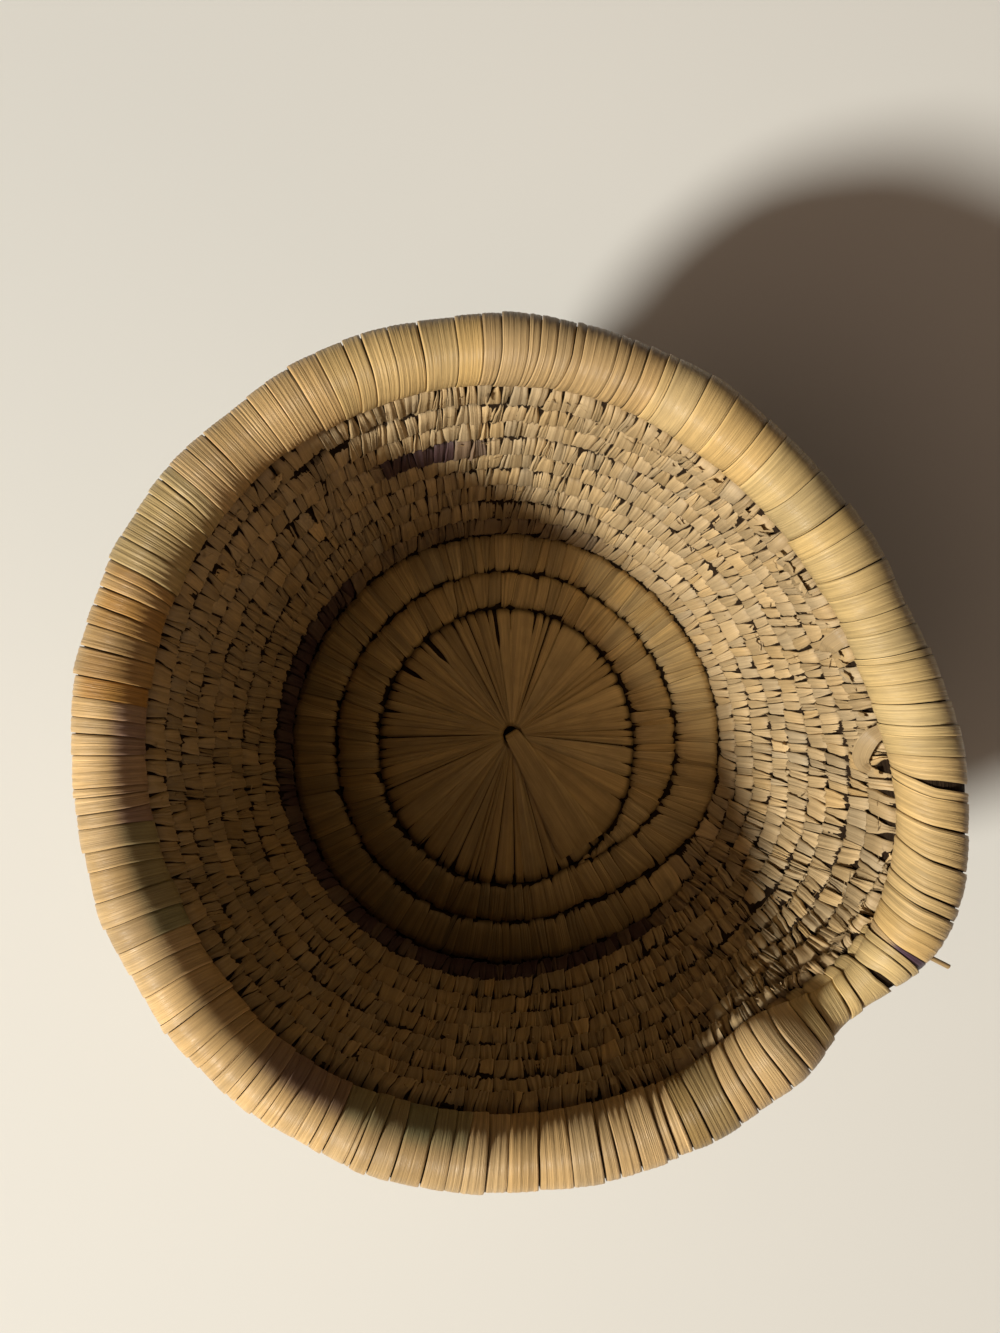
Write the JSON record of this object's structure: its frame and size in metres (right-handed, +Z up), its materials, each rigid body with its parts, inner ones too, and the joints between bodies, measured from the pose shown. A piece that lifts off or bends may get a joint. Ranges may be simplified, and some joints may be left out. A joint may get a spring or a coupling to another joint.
{
  "type": "coiled basket",
  "caption": "Round open basket of coiled grass sewn with palm-leaf strips, with a leaf rosette in the base, a bowed flaring wall and a thick leaf-wrapped roll rim.",
  "frame": {"origin": "on the floor under the middle of the basket", "axes": "+Z up along the basket's axis, +X to the right and +Y to the top of the picture, which looks down into it"},
  "size_m": [0.3024, 0.295, 0.1822],
  "materials": {
    "grass": "dry grass bundle, matte",
    "rosette_leaf": "dry palm leaf, satin, ribbed along its length",
    "sewn_coil": "grass bundle sewn over with palm-leaf strips, matte to satin",
    "leaf_pale": "pale dry palm leaf, satin",
    "leaf_gold": "golden dry palm leaf, satin",
    "leaf_tan": "tan dry palm leaf, satin",
    "leaf_orange": "palm leaf dyed orange brown, worn, satin",
    "leaf_purple": "palm leaf dyed purple, faded, satin",
    "leaf_green": "palm leaf dyed green, faded, satin"
  },
  "bodies": {
    "root": {"start_disc": "grass", "rosette_leaf_01": "rosette_leaf", "rosette_leaf_02": "rosette_leaf", "rosette_leaf_03": "rosette_leaf", "rosette_leaf_04": "rosette_leaf", "rosette_leaf_05": "rosette_leaf", "rosette_leaf_06": "rosette_leaf", "rosette_leaf_07": "rosette_leaf", "rosette_leaf_08": "rosette_leaf", "rosette_leaf_09": "rosette_leaf", "rosette_leaf_10": "rosette_leaf", "rosette_leaf_11": "rosette_leaf", "rosette_leaf_12": "rosette_leaf", "rosette_leaf_13": "rosette_leaf", "rosette_leaf_14": "rosette_leaf", "rosette_leaf_15": "rosette_leaf", "rosette_leaf_16": "rosette_leaf", "rosette_leaf_17": "rosette_leaf", "rosette_leaf_18": "rosette_leaf", "rosette_leaf_19": "rosette_leaf", "rosette_leaf_20": "rosette_leaf", "rosette_leaf_21": "rosette_leaf", "rosette_leaf_22": "rosette_leaf", "rosette_leaf_23": "rosette_leaf", "rosette_leaf_24": "rosette_leaf", "start_tail": "rosette_leaf", "base_coil_1": "sewn_coil", "base_coil_2": "sewn_coil", "wall_coil_1": "sewn_coil", "wall_coil_2": "sewn_coil", "wall_coil_3": "sewn_coil", "wall_coil_4": "sewn_coil", "wall_coil_5": "sewn_coil", "wall_coil_6": "sewn_coil", "wall_coil_7": "sewn_coil", "wall_coil_8": "sewn_coil", "wall_coil_9": "sewn_coil", "rim_hoop": "grass", "rim_strip_01": "leaf_pale", "rim_strip_02": "leaf_gold", "rim_strip_03": "leaf_tan", "rim_strip_04": "leaf_gold", "rim_strip_05": "leaf_tan", "rim_strip_06": "leaf_pale", "rim_strip_07": "leaf_orange", "rim_strip_08": "leaf_purple", "rim_strip_09": "leaf_green", "rim_strip_10": "leaf_tan", "rim_strip_11": "leaf_purple", "rim_strip_12": "leaf_green", "rim_strip_13": "leaf_tan", "rim_strip_14": "leaf_gold", "rim_strip_15": "leaf_tan", "rim_strip_16": "leaf_pale", "rim_strip_17": "leaf_gold"}
  },
  "joints": []
}
